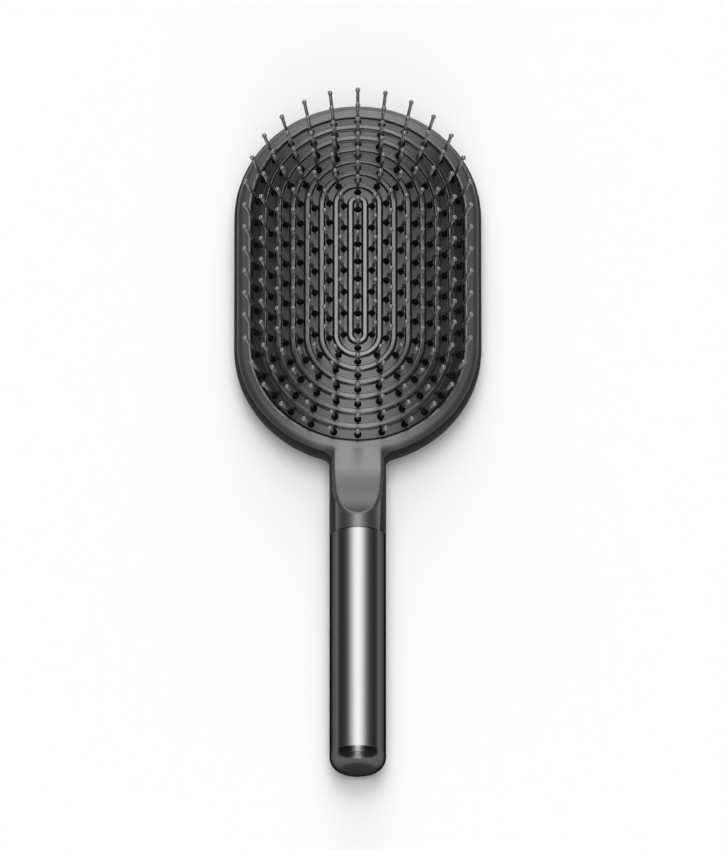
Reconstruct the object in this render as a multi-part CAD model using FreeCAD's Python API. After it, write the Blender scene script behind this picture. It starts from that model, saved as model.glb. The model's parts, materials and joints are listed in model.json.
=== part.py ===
import FreeCAD, Part
import math
import os
from FreeCAD import Placement, Rotation, Vector

# Air-cushion paddle brush, in millimetres.
# The origin is the centre of the paddle on its flat back. +Y runs to the paddle's top, +Z is the way
# the pins stand, and the handle runs along -Y.

# Paddle outline and rim
HEAD_RADIUS = 42.5
HEAD_STRAIGHT = 49.5
RIM_WIDTH = 6.1
RIM_RISE = 5.45
RIM_SLOPE_ANGLE = 18.0
RIM_ROUND = 4.3
RIM_EDGE_ROUND = 0.9
LIP_THICKNESS = 2.3
RIM_WALL = 3.1

# Neck, with the thumb scoop and the plain collar that meets the sleeve
NECK_LENGTH = 28.75
NECK_FILLET = 3.75
NECK_FACE_INSET = 3.6
NECK_EDGE_ROUND = 1.6
NECK_WALL = 2.4
COLLAR_LENGTH = 5.0
SCOOP_LENGTH = 19.0

# Metal handle sleeve
HANDLE_DIAMETER = 19.5
SLEEVE_LENGTH = 87.0
SLEEVE_WALL = 0.9
SLEEVE_END_ROUND = 4.5
SLEEVE_CLEARANCE = 0.1

# Tang inside the sleeve, moulded in two halves
TANG_LENGTH = 66.0
TANG_WALL = 2.2
TANG_BULKHEAD = 3.0
TANG_END_CHAMFER = 1.2
TANG_BOSS_DIAMETER = 6.5
TANG_SCREW_SETBACK = 20.0

# Rubber rings on the tang
O_RING_WIDTH = 1.8
O_RING_DEPTH = 1.2
O_RING_CLEARANCE = 0.02
O_RING_ROUND = 0.5
O_RING_SETBACK = 8.0

# Back cover
BACK_WALL = 2.2
CAVITY_ROUND = 6.0
TONGUE_THICKNESS = 0.9
TONGUE_HEIGHT = 1.2
TONGUE_CLEARANCE = 0.1
BOSS_DIAMETER = 5.0

# Rubber cushion
DOME_RISE = 7.0
DOME_EDGE_DROP = 0.8
PAD_THICKNESS = 2.0
PAD_CLEARANCE = 0.15
PAD_WALL = 1.1
PAD_FLANGE_THICKNESS = 1.5
RIDGE_WIDTH = 1.9
RIDGE_HEIGHT = 1.1
RIDGE_PLACE_SHARE = 0.5

# Clamp ring under the cushion's flange
CLAMP_CLEARANCE = 0.2
CLAMP_LAND = 3.0
CLAMP_REACH = 8.7
CLAMP_HEIGHT = 3.2
CLAMP_THICKNESS = 1.5

# Ball-tipped pins
PIN_EDGE_MARGIN = 1.75
CROWN_PIN_LENGTH = 10.4
EDGE_TIP_DROP = 1.1
SIDE_LEAN_ANGLE = 15.5
END_LEAN_ANGLE = 20.5
PIN_DIAMETER = 1.2
BALL_DIAMETER = 1.8
FOOT_DIAMETER = 2.2
FOOT_THICKNESS = 0.6
FOOT_GAP = 0.15
PIN_CLEARANCE = 0.05
CENTRE_ROW_PINS = 8
CENTRE_ROW_LENGTH = 46.0
RING_PINS = (16, 22, 24, 30, 34, 36, 38)

# Countersunk screws: shank diameter, head diameter, head height, length
CLAMP_SCREW_DIAMETER = 2.2
CLAMP_SCREW_HEAD_DIAMETER = 4.0
CLAMP_SCREW_HEAD_HEIGHT = 1.1
CLAMP_SCREW_LENGTH = 6.5
TANG_SCREW_DIAMETER = 2.5
TANG_SCREW_HEAD_DIAMETER = 4.6
TANG_SCREW_HEAD_HEIGHT = 1.3
TANG_SCREW_LENGTH = 12.0
TANG_SCREW_SINK = 1.4
SCREW_CLEARANCE = 0.02
SCREW_DRIVE_WIDTH = 0.6
SCREW_DRIVE_SHARE = 0.7

# Every cut runs past the face that it opens by this much
OVERRUN = 1.0

# Points nearer than this are one point
SAME_POINT_DISTANCE = 0.00001

UP = Vector(0, 0, 1)
ALONG = Vector(0, 1, 0)
ACROSS = Vector(1, 0, 0)

# Places that follow from the sizes
handle_radius = HANDLE_DIAMETER / 2
opening_radius = HEAD_RADIUS - RIM_WIDTH
parting_z = handle_radius
slope = math.tan(math.radians(RIM_SLOPE_ANGLE))
rim_edge_z = parting_z + RIM_RISE
rim_corner_z = rim_edge_z - RIM_WIDTH * slope
lip_z = rim_edge_z - LIP_THICKNESS
rim_wall_radius = HEAD_RADIUS - RIM_WALL
neck_face_z = rim_corner_z + NECK_FACE_INSET * slope
head_end_y = -(HEAD_STRAIGHT / 2 + HEAD_RADIUS)
joint_y = head_end_y - NECK_LENGTH
sleeve_bore_radius = handle_radius - SLEEVE_WALL
tang_radius = sleeve_bore_radius - SLEEVE_CLEARANCE
tang_end_y = joint_y - TANG_LENGTH
tang_screw_ys = [joint_y - TANG_SCREW_SETBACK, tang_end_y + TANG_SCREW_SETBACK]
o_ring_ys = [joint_y - O_RING_SETBACK, tang_end_y + O_RING_SETBACK]
o_ring_floor_radius = tang_radius - O_RING_DEPTH
cavity_radius = rim_wall_radius - TONGUE_CLEARANCE - TONGUE_THICKNESS
pad_radius = opening_radius - PAD_CLEARANCE
pad_bore_radius = pad_radius - PAD_WALL
flange_z = lip_z - PAD_FLANGE_THICKNESS
clamp_radius = cavity_radius - CLAMP_CLEARANCE
clamp_wall_radius = clamp_radius - CLAMP_LAND
clamp_bore_radius = clamp_radius - CLAMP_REACH
clamp_z = flange_z - CLAMP_HEIGHT
clamp_seat_z = clamp_z + CLAMP_THICKNESS
clamp_screw_radius = (clamp_wall_radius + clamp_bore_radius) / 2
dome_radius = (opening_radius ** 2 + DOME_RISE ** 2) / (2 * DOME_RISE)
crown_z = rim_edge_z - DOME_EDGE_DROP + DOME_RISE
dome_centre_z = crown_z - dome_radius
outer_pin_radius = opening_radius - PIN_EDGE_MARGIN
pin_pitch = outer_pin_radius / len(RING_PINS)


def dome_z(radius, depth=0):
    """Height of the cushion's dome, or of the surface that lies depth below it."""
    return dome_centre_z + math.sqrt((dome_radius - depth) ** 2 - radius ** 2)


def rounded_profile(corners):
    """Face in the XZ plane through (x, z, round) corners, each rounded by a tangent arc."""
    points = [Vector(x, 0, z) for x, z, _ in corners]
    edges = []
    stretches = []
    for i, (point, corner) in enumerate(zip(points, corners)):
        back = (points[i - 1] - point).normalize()
        ahead = (points[(i + 1) % len(points)] - point).normalize()
        if corner[2] == 0:
            stretches.append((point, point))
            continue
        half_angle = back.getAngle(ahead) / 2
        reach = corner[2] / math.tan(half_angle)
        bisector = (back + ahead).normalize()
        nearest = corner[2] / math.sin(half_angle) - corner[2]
        start = point + back * reach
        end = point + ahead * reach
        edges.append(Part.Arc(start, point + bisector * nearest, end).toShape())
        stretches.append((start, end))
    for i, (start, _) in enumerate(stretches):
        before = stretches[i - 1][1]
        if not before.isEqual(start, SAME_POINT_DISTANCE):
            edges.append(Part.makeLine(before, start))
    return Part.Face(Part.Wire(Part.__sortEdges__(edges)))


def stadium_sweep(face):
    """Solid that carries a profile round the paddle: two half turns joined by two straight runs."""
    half = Vector(0, HEAD_STRAIGHT / 2, 0)
    run = face.translated(-half).extrude(half * 2)
    turn = face.translated(half).revolve(half, UP, 180)
    others = [shape.rotated(Vector(), UP, 180) for shape in (run, turn)]
    return run.multiFuse([turn] + others).removeSplitter()


def stadium_prism(radius, low_z, high_z):
    """Upright block with the paddle's outline at a given radius."""
    face = rounded_profile([(0, low_z, 0), (radius, low_z, 0), (radius, high_z, 0), (0, high_z, 0)])
    return stadium_sweep(face)


def rod(radius, start_y, end_y):
    """Cylinder on the handle's axis, from one place along -Y to another."""
    return Part.makeCylinder(radius, start_y - end_y, Vector(0, start_y, handle_radius), -ALONG)


def half_space(above):
    """Block that holds everything above, or below, the parting plane."""
    reach = 2 * HEAD_RADIUS
    length = HEAD_STRAIGHT + 2 * HEAD_RADIUS + NECK_LENGTH + SLEEVE_LENGTH
    low_z = parting_z if above else parting_z - reach
    return Part.makeBox(2 * reach, 2 * length, reach, Vector(-reach, -length, low_z))


def neck_fillets(profile):
    """Webs in the two corners between paddle and neck, turned about the centres of those corners."""
    centre_x = handle_radius + NECK_FILLET
    reach = HEAD_RADIUS + NECK_FILLET
    drop = math.sqrt(reach ** 2 - centre_x ** 2)
    centre = Vector(centre_x, -HEAD_STRAIGHT / 2 - drop, 0)
    head_angle = math.degrees(math.atan2(drop, -centre_x))
    turned = profile.translated(centre).rotated(centre, UP, head_angle)
    web = turned.revolve(centre, UP, 180 - head_angle)
    return [web, web.mirror(Vector(), Vector(1, 0, 0))]


def tang_half(above):
    """Half of the hollow tang, with its ring grooves and its screw bosses."""
    body = rod(tang_radius, joint_y, tang_end_y)
    tip_edges = [edge for edge in body.Edges if abs(edge.CenterOfMass.y - tang_end_y) < TANG_END_CHAMFER
                 and edge.isClosed()]
    body = body.makeChamfer(TANG_END_CHAMFER, tip_edges)
    for y in o_ring_ys:
        groove = rod(tang_radius + OVERRUN, y + O_RING_WIDTH / 2, y - O_RING_WIDTH / 2)
        body = body.cut(groove.cut(rod(o_ring_floor_radius, y + O_RING_WIDTH, y - O_RING_WIDTH)))
    hollow_end = tang_end_y + TANG_WALL
    hollow = rod(tang_radius - TANG_WALL, joint_y - TANG_BULKHEAD, hollow_end)
    for y in tang_screw_ys:
        base = Vector(0, y, parting_z - tang_radius)
        hollow = hollow.cut(Part.makeCylinder(TANG_BOSS_DIAMETER / 2, 2 * tang_radius, base))
    body = body.cut(hollow).common(half_space(above))
    for screw in tang_screw_solids(SCREW_CLEARANCE):
        body = body.cut(screw)
    return body


def countersunk_screw(diameter, head_diameter, head_height, length, clearance=0):
    """Screw along +Z with its head's flat face at zero. With a clearance it is the hole for one."""
    shank = diameter / 2 + clearance
    head = head_diameter / 2 + clearance
    tip_z = length + clearance
    outline = [Vector(0, 0, 0), Vector(head, 0, 0), Vector(shank, 0, head_height),
               Vector(shank, 0, tip_z - shank), Vector(0, 0, tip_z), Vector(0, 0, 0)]
    return Part.Face(Part.makePolygon(outline)).revolve(Vector(), UP, 360)


def cross_drive(head_diameter, head_height):
    """Cross recess in a screw's head."""
    span = head_diameter * SCREW_DRIVE_SHARE
    depth = head_height * SCREW_DRIVE_SHARE
    blade = Part.makeBox(span, SCREW_DRIVE_WIDTH, depth, Vector(-span / 2, -SCREW_DRIVE_WIDTH / 2, 0))
    return blade.fuse(blade.rotated(Vector(), UP, 90))


def clamp_screw_solids(clearance=0):
    """Screws through the clamp ring into the back cover's bosses, heads up and flush."""
    screw = countersunk_screw(CLAMP_SCREW_DIAMETER, CLAMP_SCREW_HEAD_DIAMETER,
                              CLAMP_SCREW_HEAD_HEIGHT, CLAMP_SCREW_LENGTH, clearance)
    if clearance == 0:
        screw = screw.cut(cross_drive(CLAMP_SCREW_HEAD_DIAMETER, CLAMP_SCREW_HEAD_HEIGHT))
    down = Rotation(Vector(1, 0, 0), 180)
    return [screw.copy().transformed(Placement(Vector(x, y, clamp_seat_z), down).toMatrix())
            for x, y in clamp_screw_places()]


def clamp_screw_places():
    """Three screws along each straight side and one at each end."""
    half = HEAD_STRAIGHT / 2
    sides = [(side * clamp_screw_radius, y) for side in (-1, 1) for y in (-half, 0, half)]
    return sides + [(0, side * (half + clamp_screw_radius)) for side in (-1, 1)]


def tang_screw_solids(clearance=0):
    """Screws that draw the tang halves together, heads sunk into the rear half."""
    screw = countersunk_screw(TANG_SCREW_DIAMETER, TANG_SCREW_HEAD_DIAMETER,
                              TANG_SCREW_HEAD_HEIGHT, TANG_SCREW_LENGTH, clearance)
    if clearance == 0:
        screw = screw.cut(cross_drive(TANG_SCREW_HEAD_DIAMETER, TANG_SCREW_HEAD_HEIGHT))
    else:
        head = TANG_SCREW_HEAD_DIAMETER / 2 + clearance
        screw = screw.fuse(Part.makeCylinder(head, TANG_SCREW_SINK + OVERRUN, Vector(), -UP))
    seat_z = parting_z - tang_radius + TANG_SCREW_SINK
    return [screw.translated(Vector(0, y, seat_z)) for y in tang_screw_ys]


def paddle_frame():
    """Front moulding: rim, front half of the neck with its thumb scoop, front half of the tang."""
    rim = stadium_sweep(rounded_profile([
        (opening_radius, lip_z, 0),
        (rim_wall_radius, lip_z, 0),
        (rim_wall_radius, parting_z, 0),
        (HEAD_RADIUS, parting_z, 0),
        (HEAD_RADIUS, rim_corner_z, RIM_ROUND),
        (opening_radius, rim_edge_z, RIM_EDGE_ROUND)]))
    fillet_far = NECK_FILLET + handle_radius
    fillet_profile = rounded_profile([
        (NECK_FILLET, parting_z, 0),
        (NECK_FILLET, rim_corner_z, RIM_ROUND),
        (NECK_FILLET + NECK_FACE_INSET, neck_face_z, 0),
        (fillet_far, neck_face_z, 0),
        (fillet_far, parting_z, 0)])
    neck = rod(handle_radius, -HEAD_STRAIGHT / 2, joint_y).common(half_space(True))
    neck = neck.cut(thumb_scoop())
    neck = neck.makeFillet(NECK_EDGE_ROUND, scoop_edges(neck))
    neck = neck.multiFuse(neck_fillets(fillet_profile))
    neck = neck.cut(stadium_prism(rim_wall_radius, 0, crown_z))
    return rim.multiFuse([neck, tang_half(True)]).removeSplitter()


def scoop_edges(neck):
    """Edges on both sides where the neck's face and its scoop meet the round of the neck."""
    high = [edge for edge in neck.Edges if edge.BoundBox.ZMin > neck_face_z - NECK_EDGE_ROUND]
    return [edge for edge in high if edge.BoundBox.YLength > NECK_EDGE_ROUND]


def thumb_scoop():
    """Space above the neck's flat face and above the hollow that climbs from it to the collar."""
    end_y = joint_y + COLLAR_LENGTH
    start_y = end_y + SCOOP_LENGTH
    top_z = parting_z + handle_radius
    climb = top_z - neck_face_z
    arc_radius = (SCOOP_LENGTH ** 2 + climb ** 2) / (2 * climb)
    half_turn = math.asin(SCOOP_LENGTH / arc_radius) / 2
    middle_y = start_y - arc_radius * math.sin(half_turn)
    middle_z = neck_face_z + arc_radius * (1 - math.cos(half_turn))
    start = Vector(0, start_y, neck_face_z)
    end = Vector(0, end_y, top_z)
    ceiling = Vector(0, end_y, top_z + OVERRUN)
    far_ceiling = Vector(0, 0, top_z + OVERRUN)
    far_floor = Vector(0, 0, neck_face_z)
    edges = [Part.Arc(start, Vector(0, middle_y, middle_z), end).toShape(),
             Part.makeLine(end, ceiling),
             Part.makeLine(ceiling, far_ceiling),
             Part.makeLine(far_ceiling, far_floor),
             Part.makeLine(far_floor, start)]
    width = HANDLE_DIAMETER + 2 * OVERRUN
    return Part.Face(Part.Wire(edges)).translated(Vector(-width / 2, 0, 0)).extrude(Vector(width, 0, 0))


def back_cover():
    """Rear shell: flat back with a full round edge, rear half of the neck, rear half of the tang."""
    round_edge = handle_radius
    shell = stadium_sweep(rounded_profile([
        (0, 0, 0),
        (HEAD_RADIUS, 0, round_edge),
        (HEAD_RADIUS, parting_z, 0),
        (0, parting_z, 0)]))
    fillet_profile = rounded_profile([
        (NECK_FILLET, parting_z, 0),
        (NECK_FILLET, 0, round_edge),
        (NECK_FILLET + round_edge, 0, 0),
        (NECK_FILLET + round_edge, parting_z, 0)])
    neck = rod(handle_radius, -HEAD_STRAIGHT / 2, joint_y).common(half_space(False))
    tongue_radius = cavity_radius + TONGUE_THICKNESS
    tongue = stadium_prism(tongue_radius, parting_z, parting_z + TONGUE_HEIGHT)
    shell = shell.multiFuse([neck, tongue] + neck_fillets(fillet_profile))
    shell = shell.cut(stadium_sweep(rounded_profile([
        (0, BACK_WALL, 0),
        (cavity_radius, BACK_WALL, CAVITY_ROUND),
        (cavity_radius, parting_z + TONGUE_HEIGHT + OVERRUN, 0),
        (0, parting_z + TONGUE_HEIGHT + OVERRUN, 0)])))
    shell = shell.cut(rod(handle_radius - NECK_WALL, head_end_y, joint_y + TANG_BULKHEAD))
    bosses = [Part.makeCylinder(BOSS_DIAMETER / 2, clamp_z - BACK_WALL, Vector(x, y, BACK_WALL))
              for x, y in clamp_screw_places()]
    shell = shell.multiFuse(bosses + [tang_half(False)]).removeSplitter()
    return shell.cut(Part.makeCompound(clamp_screw_solids(SCREW_CLEARANCE)))


def cushion_pad(pin_places):
    """Domed rubber cushion with its ridges, its edge and flange under the rim, and the pin holes."""
    edges = []
    at = Vector(0, 0, crown_z)
    for ring in range(len(RING_PINS)):
        ridge = (ring + RIDGE_PLACE_SHARE) * pin_pitch
        feet = [ridge - RIDGE_WIDTH / 2, ridge + RIDGE_WIDTH / 2]
        inner, outer = [Vector(radius, 0, dome_z(radius)) for radius in feet]
        edges.append(dome_arc(at, inner))
        top = Vector(ridge, 0, dome_z(ridge) + RIDGE_HEIGHT)
        edges.append(Part.Arc(inner, top, outer).toShape())
        at = outer
    edge = Vector(pad_radius, 0, dome_z(pad_radius))
    edges.append(dome_arc(at, edge))
    underside_edge = Vector(pad_bore_radius, 0, dome_z(pad_bore_radius, PAD_THICKNESS))
    underside_crown = Vector(0, 0, crown_z - PAD_THICKNESS)
    flange = [edge, Vector(pad_radius, 0, lip_z), Vector(clamp_radius, 0, lip_z),
              Vector(clamp_radius, 0, flange_z), Vector(pad_bore_radius, 0, flange_z), underside_edge]
    edges += [Part.makeLine(a, b) for a, b in zip(flange, flange[1:])]
    edges.append(dome_arc(underside_edge, underside_crown, PAD_THICKNESS))
    edges.append(Part.makeLine(underside_crown, Vector(0, 0, crown_z)))
    pad = stadium_sweep(Part.Face(Part.Wire(edges)))
    hole_low = PAD_THICKNESS + OVERRUN
    hole = Part.makeCylinder(PIN_DIAMETER / 2 + PIN_CLEARANCE, hole_low + OVERRUN, UP * -hole_low)
    return pad.cut(Part.makeCompound([placed(hole, place) for place in pin_places]))


def dome_arc(start, end, depth=0):
    """Arc of the dome, or of its underside, between two points of the cushion's profile."""
    middle = (start.x + end.x) / 2
    return Part.Arc(start, Vector(middle, 0, dome_z(middle, depth)), end).toShape()


def clamp_ring():
    """Stiff angle-section ring that holds the cushion's flange up against the rim's lip."""
    ring = stadium_sweep(rounded_profile([
        (clamp_bore_radius, clamp_z, 0),
        (clamp_radius, clamp_z, 0),
        (clamp_radius, flange_z, 0),
        (clamp_wall_radius, flange_z, 0),
        (clamp_wall_radius, clamp_seat_z, 0),
        (clamp_bore_radius, clamp_seat_z, 0)]))
    return ring.cut(Part.makeCompound(clamp_screw_solids(SCREW_CLEARANCE)))


def handle_sleeve():
    """Drawn metal tube over the tang, closed by a flat end with a rounded edge."""
    profile = rounded_profile([
        (sleeve_bore_radius, 0, 0),
        (handle_radius, 0, 0),
        (handle_radius, SLEEVE_LENGTH, SLEEVE_END_ROUND),
        (0, SLEEVE_LENGTH, 0),
        (0, SLEEVE_LENGTH - SLEEVE_WALL, 0),
        (sleeve_bore_radius, SLEEVE_LENGTH - SLEEVE_WALL, SLEEVE_END_ROUND - SLEEVE_WALL)])
    tube = profile.revolve(Vector(), UP, 360)
    return tube.transformed(Placement(Vector(0, joint_y, handle_radius), Rotation(UP, -ALONG)).toMatrix())


def o_ring(y):
    """Rubber ring squeezed between its groove in the tang and the sleeve's bore."""
    inner = o_ring_floor_radius + O_RING_CLEARANCE
    outer = sleeve_bore_radius - O_RING_CLEARANCE
    half = O_RING_WIDTH / 2 - O_RING_CLEARANCE
    profile = rounded_profile([
        (inner, -half, O_RING_ROUND),
        (outer, -half, O_RING_ROUND),
        (outer, half, O_RING_ROUND),
        (inner, half, O_RING_ROUND)])
    ring = profile.revolve(Vector(), UP, 360)
    return ring.transformed(Placement(Vector(0, y, handle_radius), Rotation(UP, -ALONG)).toMatrix())


def ring_places(ring, count):
    """Place and lean of each pin in a ring, evenly along its loop from the paddle's top."""
    radius = ring * pin_pitch
    half = HEAD_STRAIGHT / 2
    quarter = math.pi * radius / 2
    loop = 4 * quarter + 2 * HEAD_STRAIGHT
    places = []
    for i in range(count):
        along = loop * i / count
        mirrored = along > loop / 2
        along = loop - along if mirrored else along
        turn = min(along, quarter) + max(0, along - quarter - HEAD_STRAIGHT)
        bearing = turn / radius
        if quarter < along < quarter + HEAD_STRAIGHT:
            centre_y = half - (along - quarter)
        else:
            centre_y = half if along <= quarter else -half
        out = Vector(math.sin(bearing) * (-1 if mirrored else 1), math.cos(bearing), 0)
        places.append(pin_placement(out * radius + Vector(0, centre_y, 0), out, radius))
    return places


def centre_row_places():
    """Upright pins along the middle of the cushion."""
    step = CENTRE_ROW_LENGTH / (CENTRE_ROW_PINS - 1)
    return [pin_placement(Vector(0, i * step - CENTRE_ROW_LENGTH / 2, 0), UP, 0) for i in range(CENTRE_ROW_PINS)]


def pin_lean(radius, out):
    """Angle by which a pin at a distance from the cushion's middle leans outwards, more at the paddle's ends."""
    edge_lean = math.hypot(SIDE_LEAN_ANGLE * out.x, END_LEAN_ANGLE * out.y)
    return math.radians(edge_lean) * math.sqrt(radius / outer_pin_radius)


def pin_length(radius):
    """Length of those pins above the dome. The tips at the sides lie on a much flatter surface than it."""
    tip_z = crown_z + CROWN_PIN_LENGTH - EDGE_TIP_DROP * (radius / outer_pin_radius) ** 2
    return (tip_z - dome_z(radius)) / math.cos(pin_lean(radius, ACROSS))


def pin_placement(foot, out, radius):
    """Place of a pin that leans outwards."""
    lean = pin_lean(radius, out)
    direction = out * math.sin(lean) + UP * math.cos(lean)
    return Placement(foot + UP * dome_z(radius), Rotation(UP, direction))


def placed(shape, placement):
    """Copy of a shape carried to a placement."""
    return shape.copy().transformed(placement.toMatrix())


def brush_pin(length):
    """One pin: a foot under the cushion, a shaft through it and a ball at the tip."""
    shaft = PIN_DIAMETER / 2
    ball = BALL_DIAMETER / 2
    foot = FOOT_DIAMETER / 2
    foot_top = -(PAD_THICKNESS + FOOT_GAP)
    foot_low = foot_top - FOOT_THICKNESS
    ball_z = length - ball
    neck_z = ball_z - math.sqrt(ball ** 2 - shaft ** 2)
    tip = Vector(0, 0, length)
    outline = [tip, Vector(0, 0, foot_low), Vector(foot, 0, foot_low), Vector(foot, 0, foot_top),
               Vector(shaft, 0, foot_top), Vector(shaft, 0, neck_z)]
    edges = [Part.makeLine(a, b) for a, b in zip(outline, outline[1:])]
    edges.append(Part.Arc(outline[-1], Vector(ball, 0, ball_z), tip).toShape())
    return Part.Face(Part.Wire(edges)).revolve(Vector(), UP, 360)


def save(name, shape):
    """Write one sub-part."""
    shape.exportStep("parts/" + name + ".step")


def main():
    os.makedirs("parts", exist_ok=True)
    rows = [("centre_pin_row", centre_row_places())]
    rows += [("pin_ring_" + str(ring), ring_places(ring, count)) for ring, count in enumerate(RING_PINS, start=1)]
    for ring, (name, places) in enumerate(rows):
        pin = brush_pin(pin_length(ring * pin_pitch))
        save(name, Part.makeCompound([placed(pin, place) for place in places]))
    save("cushion_pad", cushion_pad([place for _, places in rows for place in places]))
    save("paddle_frame", paddle_frame())
    save("back_cover", back_cover())
    save("cushion_clamp_ring", clamp_ring())
    save("clamp_ring_screws", Part.makeCompound(clamp_screw_solids()))
    save("tang_screws", Part.makeCompound(tang_screw_solids()))
    save("handle_sleeve", handle_sleeve())
    save("sleeve_o_rings", Part.makeCompound([o_ring(y) for y in o_ring_ys]))


main()
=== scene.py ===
import json
import math

import bmesh
import bpy
from mathutils import Euler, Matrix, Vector


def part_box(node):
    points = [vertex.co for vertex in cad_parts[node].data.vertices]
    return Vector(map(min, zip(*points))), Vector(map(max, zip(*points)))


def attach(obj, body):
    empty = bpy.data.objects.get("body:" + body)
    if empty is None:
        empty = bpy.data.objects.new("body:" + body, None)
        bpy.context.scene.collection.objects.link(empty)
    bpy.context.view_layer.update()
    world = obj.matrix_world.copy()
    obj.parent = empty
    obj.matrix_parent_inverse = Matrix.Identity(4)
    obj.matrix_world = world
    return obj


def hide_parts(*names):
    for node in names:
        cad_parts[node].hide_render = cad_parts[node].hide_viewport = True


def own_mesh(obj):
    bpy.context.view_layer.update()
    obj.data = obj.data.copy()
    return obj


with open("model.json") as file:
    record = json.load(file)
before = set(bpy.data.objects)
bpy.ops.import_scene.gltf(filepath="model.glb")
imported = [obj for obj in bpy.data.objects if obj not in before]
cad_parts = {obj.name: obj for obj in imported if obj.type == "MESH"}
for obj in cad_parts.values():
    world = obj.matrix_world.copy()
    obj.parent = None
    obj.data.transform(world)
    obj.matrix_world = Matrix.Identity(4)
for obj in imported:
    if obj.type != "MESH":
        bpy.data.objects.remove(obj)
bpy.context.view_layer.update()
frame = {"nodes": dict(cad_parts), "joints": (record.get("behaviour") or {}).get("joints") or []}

bl_info = {
    "name": "Paddle Brush Looks",
    "version": (1, 0, 0),
    "blender": (4, 5, 0),
    "location": "View3D > Sidebar > Paddle Brush",
    "description": "Dresses a packed paddle hair brush: cushion, pins, sleeve, finishes and a studio",
    "category": "Object",
}

MM = 0.001
UP = Vector((0, 0, 1))
ACROSS = Vector((1, 0, 0))

CENTRE_ROW_PINS = 8
RING_PINS = (16, 22, 24, 30, 34, 36, 38)
RINGS = len(RING_PINS)

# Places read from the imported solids, in metres
FRAME_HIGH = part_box("paddle_frame")[1]
SLEEVE_LOW, SLEEVE_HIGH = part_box("handle_sleeve")
CROWN_TIP_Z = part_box("centre_pin_row")[1].z
HANDLE_RADIUS = (SLEEVE_HIGH.x - SLEEVE_LOW.x) / 2
HEAD_RADIUS = FRAME_HIGH.x
HEAD_STRAIGHT = 2 * (FRAME_HIGH.y - HEAD_RADIUS)
PRESS_JOINT = frame["joints"][0]
PRESS_ANCHOR = PRESS_JOINT["deforming_nodes"][0]["fixed_end_z_m"]
PIN_NODES = ["centre_pin_row"] + ["pin_ring_%d" % ring for ring in range(1, RINGS + 1)]
PIN_BODIES = ["centre_pins"] + ["ring_%d_pins" % ring for ring in range(1, RINGS + 1)]


def length_property(name, description, default):
    """A size in metres."""
    return bpy.props.FloatProperty(name=name, description=description, default=default, min=0,
                                   unit="LENGTH", precision=5)


def angle_property(name, description, degrees):
    """An angle, given in degrees and kept in radians."""
    return bpy.props.FloatProperty(name=name, description=description, default=math.radians(degrees),
                                   subtype="ANGLE")


def colour_property(name, description, colour):
    """A colour in linear light."""
    return bpy.props.FloatVectorProperty(name=name, description=description, default=colour, size=3,
                                         min=0, max=1, subtype="COLOR")


def share_property(name, description, default):
    """A plain number between zero and one."""
    return bpy.props.FloatProperty(name=name, description=description, default=default, min=0, max=1)


class BrushSizes(bpy.types.PropertyGroup):
    """Sizes of the pieces that are modelled here."""
    rim_width: length_property("Rim width", "From the paddle's edge to the cushion's opening", 6.1 * MM)
    dome_rise: length_property("Dome rise", "Height of the cushion's crown over its edge", 7.0 * MM)
    ridge_height: length_property("Ridge height", "How far a ridge stands above the cushion", 1.0 * MM)
    ridge_width: length_property("Ridge width", "Width of a ridge at its foot", 2.1 * MM)
    ridge_flank: share_property("Ridge flank", "Share of a ridge's half width that slopes", 0.25)
    edge_margin: length_property("Edge margin", "From the outer ring of pins to the opening", 1.75 * MM)
    crown_pin_length: length_property("Crown pin length", "From the cushion's crown to a tip", 10.4 * MM)
    edge_tip_drop: length_property("Edge tip drop", "From the crown's tips down to the edge's", 1.1 * MM)
    side_lean: angle_property("Side lean", "Outward lean of the outer ring's pins at the sides", 15.5)
    end_lean: angle_property("End lean", "Outward lean of the outer ring's pins at both ends", 20.5)
    centre_row_length: length_property("Centre row length", "From its first pin to its last", 46.0 * MM)
    # The near-black cone round each pin's foot is painted shade, not a hole in the cushion.
    foot_shade_diameter: length_property("Foot shade diameter", "Dark opening round a pin's foot", 2.6 * MM)
    pin_diameter: length_property("Pin diameter", "Shaft of a pin", 1.2 * MM)
    ball_diameter: length_property("Ball diameter", "Ball at a pin's tip", 1.8 * MM)
    sleeve_round: length_property("Sleeve end round", "Rounding of the sleeve's closed end", 4.5 * MM)
    sleeve_lip: length_property("Sleeve lip round", "Rounding of the sleeve's open edge", 0.12 * MM)
    camera_tilt: angle_property("Camera tilt", "From straight down towards the handle", 25)
    camera_lens: bpy.props.FloatProperty(name="Lens", description="Focal length in millimetres", default=1300)
    pixel_size: length_property("Pixel size", "Size on the object of one pixel of the picture", 0.3441 * MM)


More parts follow.
